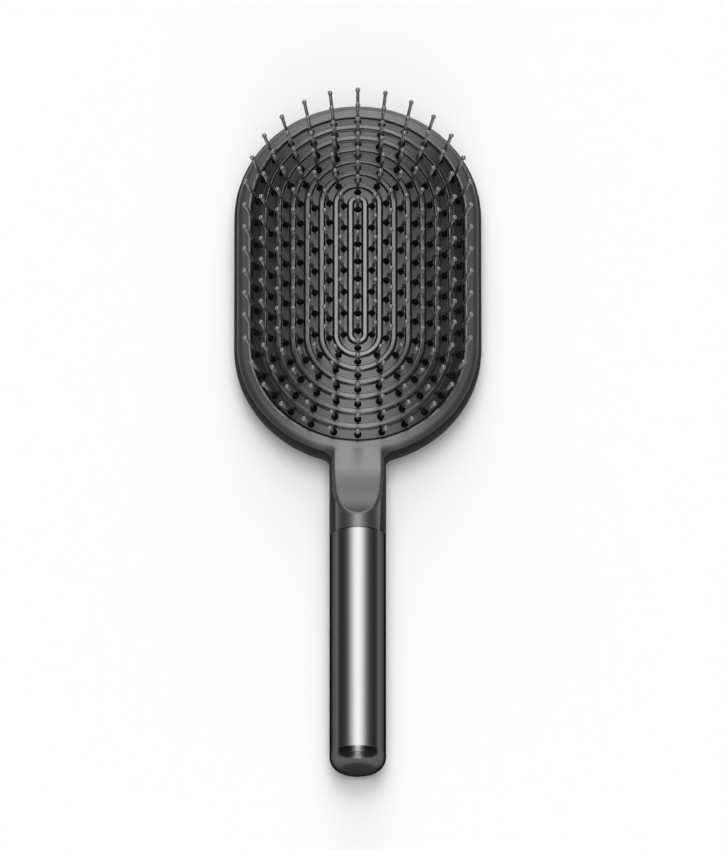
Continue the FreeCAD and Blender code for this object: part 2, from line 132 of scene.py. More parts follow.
class BrushFinishes(bpy.types.PropertyGroup):
    """Colours and gloss of the finishes."""
    plastic: colour_property("Satin plastic", "Faces of the paddle and neck", (0.025, 0.025, 0.0255))
    # Darker than the satin plastic: painted shade on the side walls and the back, on top of a real matt finish.
    plastic_side_shade: colour_property("Shaded matt plastic", "Paddle's side walls and back", (0.01, 0.01, 0.0103))
    plastic_gloss: share_property("Plastic roughness", "Satin of the paddle", 0.36)
    rubber: colour_property("Cushion rubber", "Grooves of the cushion", (0.003, 0.003, 0.0031))
    rubber_ridge: colour_property("Ridge rubber", "Polished tops of the ridges", (0.01, 0.01, 0.0103))
    pin: colour_property("Pins", "Glossy grey pins, at the ball", (0.12, 0.12, 0.1212))
    # The pins' colour is scaled down towards their feet by this share: painted shade at the crowded roots.
    pin_foot_shade: share_property("Pin foot shade", "Share of the pins' colour that is left at the foot", 0.3)
    # Near-black colour of the cones round the pins' feet: painted shade.
    socket: colour_property("Foot shade cones", "Dark opening round a pin's foot", (0.002, 0.002, 0.002))
    metal: colour_property("Gunmetal", "Handle sleeve", (0.11, 0.11, 0.1123))
    inner: colour_property("Inner plastic", "Clamp ring under the rim", (0.03, 0.03, 0.03))
    steel: colour_property("Screw steel", "Screws inside", (0.4, 0.4, 0.41))
    seal: colour_property("Ring rubber", "Rings between the tang and the sleeve", (0.02, 0.02, 0.02))
    floor: colour_property("Floor", "Plain pale floor", (0.94, 0.94, 0.94))


def sizes():
    """The brush's sizes, as set in the scene."""
    return bpy.context.scene.brush_sizes


def finishes():
    """The brush's finishes, as set in the scene."""
    return bpy.context.scene.brush_finishes


def opening_radius():
    """Half of the width of the rim's opening."""
    return HEAD_RADIUS - sizes().rim_width


def dome_radius():
    """Radius of the arc that the cushion's profile follows."""
    half, rise = opening_radius(), sizes().dome_rise
    return (half ** 2 + rise ** 2) / (2 * rise)


def crown_z():
    """Height of the cushion's crown between its ridges."""
    return CROWN_TIP_Z - sizes().crown_pin_length


def dome_z(radius):
    """Height of the cushion between its ridges, at a distance from its long axis."""
    arc = dome_radius()
    return crown_z() - arc + math.sqrt(arc ** 2 - radius ** 2)


def outer_pin_radius():
    """Distance of the outer ring's pins from the cushion's long axis."""
    return opening_radius() - sizes().edge_margin


def pin_pitch():
    """Distance between two rings of pins."""
    return outer_pin_radius() / RINGS


def pin_lean(radius, out):
    """Outward lean of a pin at a distance from the long axis, more at the paddle's ends."""
    edge_lean = math.hypot(sizes().side_lean * out.x, sizes().end_lean * out.y)
    return edge_lean * math.sqrt(radius / outer_pin_radius())


def pin_length(radius):
    """Length above the cushion of the pins there. Their tips lie on a flatter dome than it."""
    tip_z = CROWN_TIP_Z - sizes().edge_tip_drop * (radius / outer_pin_radius()) ** 2
    return (tip_z - dome_z(radius)) / math.cos(pin_lean(radius, ACROSS))


# Shader node groups


def new_group(name, inputs, outputs):
    """Empty shader node group with float, colour and vector sockets."""
    group = bpy.data.node_groups.new(name, "ShaderNodeTree")
    for socket, kind, default in inputs:
        made = group.interface.new_socket(socket, in_out="INPUT", socket_type=kind)
        if default is not None:
            made.default_value = default
    for socket, kind in outputs:
        group.interface.new_socket(socket, in_out="OUTPUT", socket_type=kind)
    return group, group.nodes.new("NodeGroupInput"), group.nodes.new("NodeGroupOutput")


def set_input(tree, socket, value):
    """Feed an input from another socket, or set a number on it."""
    if isinstance(value, bpy.types.NodeSocket):
        tree.links.new(value, socket)
    else:
        socket.default_value = value


def add_math(tree, operation, first, second=None, clamp=False):
    """Math node whose inputs are sockets or numbers."""
    node = tree.nodes.new("ShaderNodeMath")
    node.operation = operation
    node.use_clamp = clamp
    for socket, value in zip(node.inputs, (first, second)):
        if value is not None:
            set_input(tree, socket, value)
    return node.outputs[0]


def add_noise(tree, place, scale, detail):
    """Noise at a place. The scale is a socket or a number."""
    noise = tree.nodes.new("ShaderNodeTexNoise")
    noise.inputs["Detail"].default_value = detail
    tree.links.new(place, noise.inputs["Vector"])
    set_input(tree, noise.inputs["Scale"], scale)
    return noise.outputs["Fac"]


def add_scaled(tree, colour, share):
    """Colour times a share."""
    scale = tree.nodes.new("ShaderNodeVectorMath")
    scale.operation = "SCALE"
    tree.links.new(colour, scale.inputs[0])
    tree.links.new(share, scale.inputs["Scale"])
    return scale.outputs[0]


def moulded_grain_group():
    """Fine moulded texture: a height for bump and a patchy change of gloss, on object coordinates."""
    group, entry, leave = new_group(
        "Moulded grain",
        [("Grain Size", "NodeSocketFloat", 2500.0), ("Patch Size", "NodeSocketFloat", 60.0),
         ("Gloss", "NodeSocketFloat", 0.4), ("Gloss Change", "NodeSocketFloat", 0.06)],
        [("Height", "NodeSocketFloat"), ("Roughness", "NodeSocketFloat")])
    place = group.nodes.new("ShaderNodeTexCoord").outputs["Object"]
    grain = add_noise(group, place, entry.outputs["Grain Size"], detail=2.0)
    patch = add_noise(group, place, entry.outputs["Patch Size"], detail=3.0)
    centred = add_math(group, "SUBTRACT", patch, 0.5)
    change = add_math(group, "MULTIPLY", centred, entry.outputs["Gloss Change"])
    roughness = add_math(group, "ADD", entry.outputs["Gloss"], change, clamp=True)
    group.links.new(grain, leave.inputs["Height"])
    group.links.new(roughness, leave.inputs["Roughness"])
    return group


def tone_group():
    """Slow change of tone over a surface, between a colour and a share of it."""
    group, entry, leave = new_group(
        "Tone change",
        [("Colour", "NodeSocketColor", (0.1, 0.1, 0.1, 1)), ("Scale", "NodeSocketFloat", 30.0),
         ("Depth", "NodeSocketFloat", 0.1)],
        [("Colour", "NodeSocketColor")])
    place = group.nodes.new("ShaderNodeTexCoord").outputs["Object"]
    noise = add_noise(group, place, entry.outputs["Scale"], detail=4.0)
    loss = add_math(group, "MULTIPLY", noise, entry.outputs["Depth"])
    toned = add_scaled(group, entry.outputs["Colour"], add_math(group, "SUBTRACT", 1.0, loss))
    group.links.new(toned, leave.inputs["Colour"])
    return group


def node_group(builder, name):
    """The group of that name, built once."""
    return bpy.data.node_groups.get(name) or builder()


# Materials


def new_material(name):
    """Material with its node tree and its Principled BSDF."""
    material = bpy.data.materials.new(name)
    material.use_nodes = True
    return material, material.node_tree, material.node_tree.nodes["Principled BSDF"]


def place_group(tree, group, values):
    """Group node with its inputs set."""
    node = tree.nodes.new("ShaderNodeGroup")
    node.node_tree = group
    for name, value in values.items():
        node.inputs[name].default_value = value
    return node


def add_tone(tree, colour, scale, depth):
    """Colour that changes slowly over the surface."""
    group = node_group(tone_group, "Tone change")
    values = {"Colour": (*colour, 1), "Scale": scale, "Depth": depth}
    return place_group(tree, group, values).outputs["Colour"]


def add_bump(tree, shader, height, strength, distance):
    """Bump from a height into the shader's normal."""
    bump = tree.nodes.new("ShaderNodeBump")
    bump.inputs["Strength"].default_value = strength
    bump.inputs["Distance"].default_value = distance
    tree.links.new(height, bump.inputs["Height"])
    tree.links.new(bump.outputs["Normal"], shader.inputs["Normal"])


def moulded_material(name, colour, roughness, grain_size, bump_depth, specular, index=1.5, metallic=0.0):
    """One colour with a fine grain, patches of gloss and a slow change of tone."""
    material, tree, shader = new_material(name)
    tone = add_tone(tree, colour, scale=40.0, depth=0.12)
    grain = place_group(tree, node_group(moulded_grain_group, "Moulded grain"),
                        {"Grain Size": grain_size, "Gloss": roughness, "Gloss Change": 0.08})
    tree.links.new(tone, shader.inputs["Base Color"])
    tree.links.new(grain.outputs["Roughness"], shader.inputs["Roughness"])
    shader.inputs["Specular IOR Level"].default_value = specular
    shader.inputs["IOR"].default_value = index
    shader.inputs["Metallic"].default_value = metallic
    add_bump(tree, shader, grain.outputs["Height"], strength=0.12, distance=bump_depth)
    return material


def satin_plastic_material():
    """Faces of the paddle and neck."""
    finish = finishes()
    return moulded_material("Satin plastic", finish.plastic, roughness=finish.plastic_gloss,
                            grain_size=2200.0, bump_depth=0.02 * MM, specular=1.0, index=1.6)


def shaded_matt_plastic_material():
    """Side walls of the paddle, and its back: a real matt finish in a darker colour that is painted shade."""
    return moulded_material("Shaded matt plastic", finishes().plastic_side_shade, roughness=0.7, grain_size=1800.0,
                            bump_depth=0.02 * MM, specular=0.2)


def inner_plastic_material():
    """Clamp ring under the rim."""
    return moulded_material("Inner plastic", finishes().inner, roughness=0.55, grain_size=1800.0,
                            bump_depth=0.02 * MM, specular=0.5)


def steel_material():
    """Screws inside the paddle and the tang."""
    return moulded_material("Screw steel", finishes().steel, roughness=0.3, grain_size=3000.0,
                            bump_depth=0.005 * MM, specular=0.5, metallic=1.0)


def seal_material():
    """Rubber rings on the tang."""
    return moulded_material("Ring rubber", finishes().seal, roughness=0.6, grain_size=2500.0,
                            bump_depth=0.01 * MM, specular=0.5)


def groove_material():
    """Grooves of the cushion."""
    return moulded_material("Cushion rubber", finishes().rubber, roughness=0.31, grain_size=3000.0,
                            bump_depth=0.02 * MM, specular=0.78)


def ridge_material():
    """Polished tops of the cushion's ridges."""
    return moulded_material("Polished rubber ridges", finishes().rubber_ridge, roughness=0.20,
                            grain_size=3000.0, bump_depth=0.01 * MM, specular=0.9, index=1.52)


def foot_shade_material():
    """Near-black cone round a pin's foot: painted shade, not an opening in the cushion."""
    return moulded_material("Painted foot shade", finishes().socket, roughness=0.8, grain_size=1500.0,
                            bump_depth=0.004 * MM, specular=0.1)


def pin_material():
    """Glossy nylon, its colour scaled down towards a pin's foot as painted shade and paler towards its ball."""
    finish = finishes()
    material = moulded_material("Glossy pin nylon", finish.pin, roughness=0.09, grain_size=1500.0,
                                bump_depth=0.002 * MM, specular=1.0, index=1.7)
    tree = material.node_tree
    base = tree.nodes["Principled BSDF"].inputs["Base Color"]
    # Painted shade: the colour is scaled by the pin's rise, from the foot share at the foot to full at the
    # ball.
    rise = tree.nodes.new("ShaderNodeAttribute")
    rise.attribute_name = "rise"
    paler = add_math(tree, "POWER", add_math(tree, "MAXIMUM", rise.outputs["Fac"], 0.0), 2.0)
    share = add_math(tree, "ADD", add_math(tree, "MULTIPLY", paler, 1 - finish.pin_foot_shade), finish.pin_foot_shade)
    tree.links.new(add_scaled(tree, base.links[0].from_socket, share), base)
    return material


def metal_material():
    """Polished gunmetal with fine drawn lines along the sleeve, darker at its edges."""
    material, tree, shader = new_material("Gunmetal sleeve")
    place = tree.nodes.new("ShaderNodeTexCoord")
    stretch = tree.nodes.new("ShaderNodeMapping")
    stretch.inputs["Scale"].default_value = (1.0, 0.02, 1.0)
    tree.links.new(place.outputs["Object"], stretch.inputs["Vector"])
    lines = add_noise(tree, stretch.outputs["Vector"], 2500.0, detail=3.0)
    tone = add_tone(tree, finishes().metal, scale=25.0, depth=0.06)
    roughness = add_math(tree, "ADD", add_math(tree, "MULTIPLY", lines, 0.04), 0.04)
    tree.links.new(tone, shader.inputs["Base Color"])
    tree.links.new(roughness, shader.inputs["Roughness"])
    shader.inputs["Metallic"].default_value = 1.0
    shader.inputs["Specular Tint"].default_value = (0.2, 0.2, 0.2, 1)
    add_bump(tree, shader, lines, strength=0.04, distance=0.01 * MM)
    return material


# Meshes


def add_piece(name, mesh, materials):
    """Object of a finished mesh, at the origin."""
    piece = bpy.data.objects.new(name, mesh)
    bpy.context.scene.collection.objects.link(piece)
    for material in materials:
        mesh.materials.append(material)
    return piece


def finished_mesh(name, mesh, merge):
    """Smooth mesh with its doubles merged and its faces outwards, from a bmesh that is then freed."""
    bmesh.ops.remove_doubles(mesh, verts=mesh.verts, dist=merge)
    bmesh.ops.recalc_face_normals(mesh, faces=mesh.faces)
    for face in mesh.faces:
        face.smooth = True
    made = bpy.data.meshes.new(name)
    mesh.to_mesh(made)
    mesh.free()
    return made


def loop_points(radius, arc_steps, run_steps):
    """Points round a stadium of that radius, from the paddle's right side through its top."""
    half = HEAD_STRAIGHT / 2
    points = []
    for side in (1, -1):
        for step in range(arc_steps):
            turn = math.pi * step / arc_steps
            points.append((side * radius * math.cos(turn), side * (half + radius * math.sin(turn))))
        for step in range(run_steps):
            along = half - HEAD_STRAIGHT * step / run_steps
            points.append((-side * radius, side * along))
    return points


def ridge_share(radius):
    """One on a ridge's flat top, zero in a groove, with rounded flanks between."""
    if radius > RINGS * pin_pitch():
        return 0.0
    place = abs(radius / pin_pitch() % 1 - 0.5) * pin_pitch()
    half = sizes().ridge_width / 2
    flank = (half - place) / (half * sizes().ridge_flank)
    clipped = min(1.0, max(0.0, flank))
    return clipped * clipped * (3 - 2 * clipped)


# The cushion's edge under the rim's lip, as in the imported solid, and how finely it is divided
LIP_GAP = 0.15 * MM
SKIRT_FLARE = 0.05 * MM
SKIRT_RISE = 0.2 * MM
FLANGE_REACH = 0.6 * MM
FLANGE_DROP = 0.1 * MM
FLANGE_THICKNESS = 1.5 * MM
CUSHION_WALL = 1.1 * MM
CUSHION_THICKNESS = 2.0 * MM
STEPS_PER_PITCH = 22
STEPS_BELOW = 24
ARC_STEPS = 72
RUN_STEPS = 10


def cushion_profile():
    """Distances from the long axis, heights and ridge shares, over the top, round the flange and back."""
    edge = opening_radius() - LIP_GAP
    count = int(round(edge / pin_pitch() * STEPS_PER_PITCH))
    rows = []
    for step in range(count + 1):
        radius = edge * step / count
        share = ridge_share(radius)
        rows.append((radius, dome_z(radius) + share * sizes().ridge_height, share))
    skirt = edge + SKIRT_FLARE
    flange = skirt + FLANGE_REACH
    flange_low = PRESS_ANCHOR - FLANGE_THICKNESS
    bore = edge - CUSHION_WALL
    rows.append((skirt, PRESS_ANCHOR + SKIRT_RISE, 0.0))
    rows.append((flange, PRESS_ANCHOR - FLANGE_DROP, 0.0))
    rows.append((flange, flange_low, 0.0))
    rows.append((bore, flange_low, 0.0))
    for step in range(STEPS_BELOW, -1, -1):
        radius = bore * step / STEPS_BELOW
        rows.append((radius, dome_z(radius) - CUSHION_THICKNESS, 0.0))
    return rows


def cushion_mesh():
    """Domed cushion with concentric ridges, as rings of points joined into faces."""
    mesh = bmesh.new()
    profile = cushion_profile()
    rings = [[mesh.verts.new((x, y, height)) for x, y in loop_points(radius, ARC_STEPS, RUN_STEPS)]
             for radius, height, _ in profile]
    for row, (inner, outer) in enumerate(zip(rings, rings[1:])):
        on_ridge = profile[row][2] + profile[row + 1][2] > 1
        for i in range(len(inner)):
            j = (i + 1) % len(inner)
            face = mesh.faces.new((inner[i], outer[i], outer[j], inner[j]))
            face.material_index = int(on_ridge)
    return finished_mesh("cushion", mesh, merge=0.01 * MM)


def lathe_mesh(name, profile, segments, place):
    """Surface of revolution about the handle's axis, from (distance along the handle, radius) pairs."""
    mesh = bmesh.new()
    rings = []
    for along, radius in profile:
        ring = []
        for step in range(segments):
            turn = 2 * math.pi * step / segments
            point = Vector((radius * math.cos(turn), -along, radius * math.sin(turn)))
            ring.append(mesh.verts.new(place + point))
        rings.append(ring)
    for first, second in zip(rings, rings[1:]):
        for i in range(segments):
            j = (i + 1) % segments
            mesh.faces.new((first[i], first[j], second[j], second[i]))
    return finished_mesh(name, mesh, merge=0.001 * MM)


def arc_pairs(centre_along, centre_radius, radius, start, end, steps):
    """Arc as (along, radius) pairs. Its angles go from the outward direction towards the sleeve's end."""
    pairs = []
    for step in range(steps + 1):
        angle = start + (end - start) * step / steps
        pairs.append((centre_along + radius * math.sin(angle), centre_radius + radius * math.cos(angle)))
    return pairs


# The sleeve's wall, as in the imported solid, the rows that keep its straight run flat, and its divisions
SLEEVE_WALL = 0.9 * MM
RUN_HOLD = 0.3 * MM
BORE_CORNER_STEPS = 8
LIP_STEPS = 5
END_ROUND_STEPS = 12
END_FACE_SHARES = (0.6, 0.25, 0.0)
SLEEVE_SEGMENTS = 96


def sleeve_mesh():
    """Drawn tube with its bore, a rounded lip at the neck and a closed, rounded end."""
    quarter = math.pi / 2
    length = SLEEVE_HIGH.y - SLEEVE_LOW.y
    lip, end = sizes().sleeve_lip, sizes().sleeve_round
    bore, floor, corner = HANDLE_RADIUS - SLEEVE_WALL, length - SLEEVE_WALL, end - SLEEVE_WALL
    profile = [(floor, 0.0)]
    profile += arc_pairs(floor - corner, bore - corner, corner, quarter, 0, BORE_CORNER_STEPS)
    profile += [(lip * 2, bore), (0.0, bore)]
    profile += arc_pairs(lip, HANDLE_RADIUS - lip, lip, -quarter, 0, LIP_STEPS)
    profile += [(along, HANDLE_RADIUS) for along in (lip + RUN_HOLD, length / 2, length - end - RUN_HOLD)]
    profile += arc_pairs(length - end, HANDLE_RADIUS - end, end, 0, quarter, END_ROUND_STEPS)
    profile += [(length, (HANDLE_RADIUS - end) * share) for share in END_FACE_SHARES]
    return lathe_mesh("sleeve", profile, SLEEVE_SEGMENTS, Vector((0, SLEEVE_HIGH.y, HANDLE_RADIUS)))


# Geometry Nodes tree for the pins: its sizes with their defaults, and its divisions
ROOT_DEPTH = 1.0 * MM
# Height of the near-black cone that paints shade round each pin's foot.
FOOT_SHADE_LIFT = 0.2 * MM
PIN_INPUTS = (("Length", 12.0 * MM), ("Shaft Radius", 0.6 * MM), ("Ball Radius", 0.9 * MM),
              ("Root Depth", ROOT_DEPTH), ("Foot Shade Radius", 1.3 * MM), ("Foot Shade Lift", FOOT_SHADE_LIFT))
SHAFT_SIDES = 10
BALL_RINGS = 7
FOOT_SHADE_SIDES = 12


def smoothed(tree, source, flat_sides=()):
    """Mesh of a primitive's node, smooth apart from its flat caps."""
    smooth = tree.nodes.new("GeometryNodeSetShadeSmooth")
    tree.links.new(source.outputs["Mesh"], smooth.inputs["Geometry"])
    for side in flat_sides:
        flat = tree.nodes.new("GeometryNodeSetShadeSmooth")
        flat.inputs["Shade Smooth"].default_value = False
        tree.links.new(smooth.outputs[0], flat.inputs["Geometry"])
        tree.links.new(source.outputs[side], flat.inputs["Selection"])
        smooth = flat
    return smooth.outputs[0]


def raised(tree, geometry, height):
    """Geometry moved up by a height."""
    place = tree.nodes.new("ShaderNodeCombineXYZ")
    tree.links.new(height, place.inputs["Z"])
    move = tree.nodes.new("GeometryNodeTransform")
    tree.links.new(geometry, move.inputs["Geometry"])
    tree.links.new(place.outputs[0], move.inputs["Translation"])
    return move.outputs[0]


def stored(tree, geometry, name, kind, domain, value):
    """Geometry with a named attribute, from a socket or a plain value."""
    store = tree.nodes.new("GeometryNodeStoreNamedAttribute")
    store.data_type = kind
    store.domain = domain
    store.inputs["Name"].default_value = name
    set_input(tree, store.inputs["Value"], value)
    tree.links.new(geometry, store.inputs["Geometry"])
    return store.outputs[0]


def read_attribute(tree, name, kind):
    """Named attribute of the geometry."""
    node = tree.nodes.new("GeometryNodeInputNamedAttribute")
    node.data_type = kind
    node.inputs["Name"].default_value = name
    return node.outputs["Attribute"]


def painted(tree, geometry, material, selection=None):
    """Geometry, or the selected part of it, in a material."""
    paint = tree.nodes.new("GeometryNodeSetMaterial")
    tree.links.new(geometry, paint.inputs["Geometry"])
    tree.links.new(material, paint.inputs["Material"])
    if selection is not None:
        tree.links.new(selection, paint.inputs["Selection"])
    return paint.outputs[0]


def upright_pin(tree, entry):
    """One pin that stands straight up: a shaft, a ball at its tip and a near-black cone of painted shade round
    its foot.
    """
    nodes, links = tree.nodes, tree.links
    length, root = entry.outputs["Length"], entry.outputs["Root Depth"]
    shaft_radius, ball_radius = entry.outputs["Shaft Radius"], entry.outputs["Ball Radius"]
    depth = add_math(tree, "SUBTRACT", add_math(tree, "ADD", length, root), ball_radius)
    shaft_middle = add_math(tree, "SUBTRACT", add_math(tree, "MULTIPLY", depth, 0.5), root)
    ball_middle = add_math(tree, "SUBTRACT", length, ball_radius)

    shaft = nodes.new("GeometryNodeMeshCylinder")
    shaft.fill_type = "NGON"
    shaft.inputs["Vertices"].default_value = SHAFT_SIDES
    links.new(shaft_radius, shaft.inputs["Radius"])
    links.new(depth, shaft.inputs["Depth"])
    ball = nodes.new("GeometryNodeMeshUVSphere")
    ball.inputs["Segments"].default_value = SHAFT_SIDES
    ball.inputs["Rings"].default_value = BALL_RINGS
    links.new(ball_radius, ball.inputs["Radius"])
    # Near-black cone round the foot: painted shade.
    socket = nodes.new("GeometryNodeMeshCone")
    socket.fill_type = "NGON"
    socket.inputs["Vertices"].default_value = FOOT_SHADE_SIDES
    links.new(shaft_radius, socket.inputs["Radius Top"])
    links.new(entry.outputs["Foot Shade Radius"], socket.inputs["Radius Bottom"])
    links.new(entry.outputs["Foot Shade Lift"], socket.inputs["Depth"])

    caps = ("Top", "Bottom")
    join = nodes.new("GeometryNodeJoinGeometry")
    # The cone's faces are marked so that they get the painted-shade material.
    links.new(stored(tree, smoothed(tree, socket, caps), "socket", "BOOLEAN", "FACE", True), join.inputs[0])
    links.new(raised(tree, smoothed(tree, shaft, caps), shaft_middle), join.inputs[0])
    links.new(raised(tree, smoothed(tree, ball), ball_middle), join.inputs[0])
    # Height share up the pin, read by the pin material for its painted shade towards the foot.
    place = nodes.new("ShaderNodeSeparateXYZ")
    links.new(nodes.new("GeometryNodeInputPosition").outputs[0], place.inputs[0])
    rise = add_math(tree, "DIVIDE", place.outputs["Z"], length)
    return stored(tree, join.outputs[0], "rise", "FLOAT", "POINT", rise)


def pin_tree():
    """Pins on the points of a ring, each stood along its point's own lean."""
    tree = bpy.data.node_groups.new("Ball-tipped pins", "GeometryNodeTree")
    sockets = tree.interface
    sockets.new_socket("Geometry", in_out="INPUT", socket_type="NodeSocketGeometry")
    for name, default in PIN_INPUTS:
        made = sockets.new_socket(name, in_out="INPUT", socket_type="NodeSocketFloat")
        made.default_value = default
        made.subtype = "DISTANCE"
    for name in ("Pin Material", "Foot Shade Material"):
        sockets.new_socket(name, in_out="INPUT", socket_type="NodeSocketMaterial")
    sockets.new_socket("Geometry", in_out="OUTPUT", socket_type="NodeSocketGeometry")
    nodes, links = tree.nodes, tree.links
    entry, leave = nodes.new("NodeGroupInput"), nodes.new("NodeGroupOutput")
    align = nodes.new("FunctionNodeAlignRotationToVector")
    align.axis = "Z"
    links.new(read_attribute(tree, "lean", "FLOAT_VECTOR"), align.inputs["Vector"])
    spread = nodes.new("GeometryNodeInstanceOnPoints")
    links.new(entry.outputs["Geometry"], spread.inputs["Points"])
    links.new(upright_pin(tree, entry), spread.inputs["Instance"])
    links.new(align.outputs[0], spread.inputs["Rotation"])
    real = nodes.new("GeometryNodeRealizeInstances")
    links.new(spread.outputs[0], real.inputs["Geometry"])
    pins = painted(tree, real.outputs[0], entry.outputs["Pin Material"])
    # Faces of the cones round the feet get the painted-shade material.
    painted_shade_faces = read_attribute(tree, "socket", "BOOLEAN")
    links.new(painted(tree, pins, entry.outputs["Foot Shade Material"], painted_shade_faces), leave.inputs["Geometry"])
    return tree


def ring_places(ring, count):
    """Foot and outward direction of each pin in a ring, evenly along its loop from the paddle's top."""
    radius = ring * pin_pitch()
    half = HEAD_STRAIGHT / 2
    quarter = math.pi * radius / 2
    loop = 4 * quarter + 2 * HEAD_STRAIGHT
    places = []
    for i in range(count):
        along = loop * i / count
        side = -1 if along > loop / 2 else 1
        along = min(along, loop - along)
        turn = min(along, quarter) + max(0, along - quarter - HEAD_STRAIGHT)
        bearing = turn / radius
        centre_y = half - min(max(along - quarter, 0), HEAD_STRAIGHT)
        out = Vector((side * math.sin(bearing), math.cos(bearing), 0))
        places.append((out * radius + Vector((0, centre_y, dome_z(radius))), out))
    return places


def centre_row_places():
    """Foot and direction of each pin in the row along the cushion's middle."""
    length = sizes().centre_row_length
    step = length / (CENTRE_ROW_PINS - 1)
    return [(Vector((0, i * step - length / 2, crown_z())), UP) for i in range(CENTRE_ROW_PINS)]


def pin_points_mesh(name, places, radius):
    """One point for each pin, with the direction that it stands in as an attribute."""
    mesh = bpy.data.meshes.new(name)
    mesh.from_pydata([foot for foot, _ in places], [], [])
    layer = mesh.attributes.new("lean", "FLOAT_VECTOR", "POINT")
    for item, (_, out) in zip(layer.data, places):
        lean = pin_lean(radius, out)
        item.vector = out * math.sin(lean) + UP * math.cos(lean)
    return mesh


def grow_nodes(name, mesh, tree, values):
    """Plain mesh that a Geometry Nodes tree makes from a starting mesh. Its inputs are set by identifier."""
    start = bpy.data.objects.new(name + "_start", mesh)
    bpy.context.scene.collection.objects.link(start)
    modifier = start.modifiers.new("Nodes", "NODES")
    modifier.node_group = tree
    for item in tree.interface.items_tree:
        if item.item_type == "SOCKET" and item.in_out == "INPUT" and item.name in values:
            modifier[item.identifier] = values[item.name]
    evaluated = start.evaluated_get(bpy.context.evaluated_depsgraph_get())
    grown = bpy.data.meshes.new_from_object(evaluated)
    grown.name = name
    bpy.data.objects.remove(start)
    return grown


# Operators


class BRUSH_OT_cushion(bpy.types.Operator):
    """Make the ridged rubber cushion"""
    bl_idname = "brush.cushion"
    bl_label = "Cushion"

    def execute(self, context):
        piece = add_piece("ridged_cushion", cushion_mesh(), [groove_material(), ridge_material()])
        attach(piece, "paddle")
        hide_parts("cushion_pad")
        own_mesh(piece)
        return {"FINISHED"}


class BRUSH_OT_pins(bpy.types.Operator):
    """Make the ball-tipped pins, one piece for each ring that moves by itself"""
    bl_idname = "brush.pins"
    bl_label = "Pins"

    def execute(self, context):
        size = sizes()
        tree = pin_tree()
        # The foot sizes and the second material make the near-black cones of painted shade round the pins'
        # feet.
        values = {"Shaft Radius": size.pin_diameter / 2, "Ball Radius": size.ball_diameter / 2,
                  "Root Depth": ROOT_DEPTH, "Foot Shade Radius": size.foot_shade_diameter / 2,
                  "Foot Shade Lift": FOOT_SHADE_LIFT, "Pin Material": pin_material(),
                  "Foot Shade Material": foot_shade_material()}
        for ring, (node, body) in enumerate(zip(PIN_NODES, PIN_BODIES)):
            radius = ring * pin_pitch()
            values["Length"] = pin_length(radius)
            places = ring_places(ring, RING_PINS[ring - 1]) if ring else centre_row_places()
            points = pin_points_mesh(node + "_points", places, radius)
            piece = add_piece(node + "_dressed", grow_nodes(node, points, tree, values), [])
            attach(piece, body)
            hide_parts(node)
        return {"FINISHED"}


class BRUSH_OT_sleeve(bpy.types.Operator):
    """Make the polished metal sleeve of the handle"""
    bl_idname = "brush.sleeve"
    bl_label = "Handle sleeve"

    def execute(self, context):
        piece = add_piece("polished_sleeve", sleeve_mesh(), [metal_material()])
        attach(piece, "paddle")
        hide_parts("handle_sleeve")
        return {"FINISHED"}


# Faces of the paddle's front that look up less than this are its side walls; they get the darker matt plastic,
# which paints shade on them
SIDE_WALL_LIMIT = 0.6


class BRUSH_OT_mouldings(bpy.types.Operator):
    """Finish the paddle's mouldings and the pieces inside it"""
    bl_idname = "brush.mouldings"
    bl_label = "Mouldings"

    def execute(self, context):
        satin, matt, steel = satin_plastic_material(), shaded_matt_plastic_material(), steel_material()
        # The matt plastic is darker than the satin: painted shade on the paddle's side walls and its back
        # cover.
        dressed = {"paddle_frame": (satin, matt), "back_cover": (matt,),
                   "cushion_clamp_ring": (inner_plastic_material(),), "clamp_ring_screws": (steel,),
                   "tang_screws": (steel,), "sleeve_o_rings": (seal_material(),)}
        for node, materials in dressed.items():
            mesh = frame["nodes"][node].data
            mesh.materials.clear()
            for material in materials:
                mesh.materials.append(material)
        # Painted shade by facing: faces that look up less take the darker matt plastic.
        for face in frame["nodes"]["paddle_frame"].data.polygons:
            face.material_index = int(face.normal.z < SIDE_WALL_LIMIT)
        return {"FINISHED"}


class BRUSH_OT_studio(bpy.types.Operator):
    """Set the floor, the light and the camera"""
    bl_idname = "brush.studio"
    bl_label = "Studio"

    def execute(self, context):
        add_floor()
        add_sky()
        add_camera()
        context.scene.view_settings.view_transform = "Standard"
        return {"FINISHED"}


FLOOR_REACH = 30.0
FLOOR_DROP = 0.05 * MM


def add_floor():
    """Plain pale floor just under the brush, wide enough for every view."""
    corners = [(x * FLOOR_REACH, y * FLOOR_REACH, -FLOOR_DROP) for x, y in ((-1, -1), (1, -1), (1, 1), (-1, 1))]
    mesh = bpy.data.meshes.new("floor")
    mesh.from_pydata(corners, [], [(0, 1, 2, 3)])
    material, _, shader = new_material("Pale floor")
    shader.inputs["Base Color"].default_value = (*finishes().floor, 1)
    shader.inputs["Roughness"].default_value = 0.9
    shader.inputs["Specular IOR Level"].default_value = 0.0
    floor = add_piece("floor", mesh, [material])


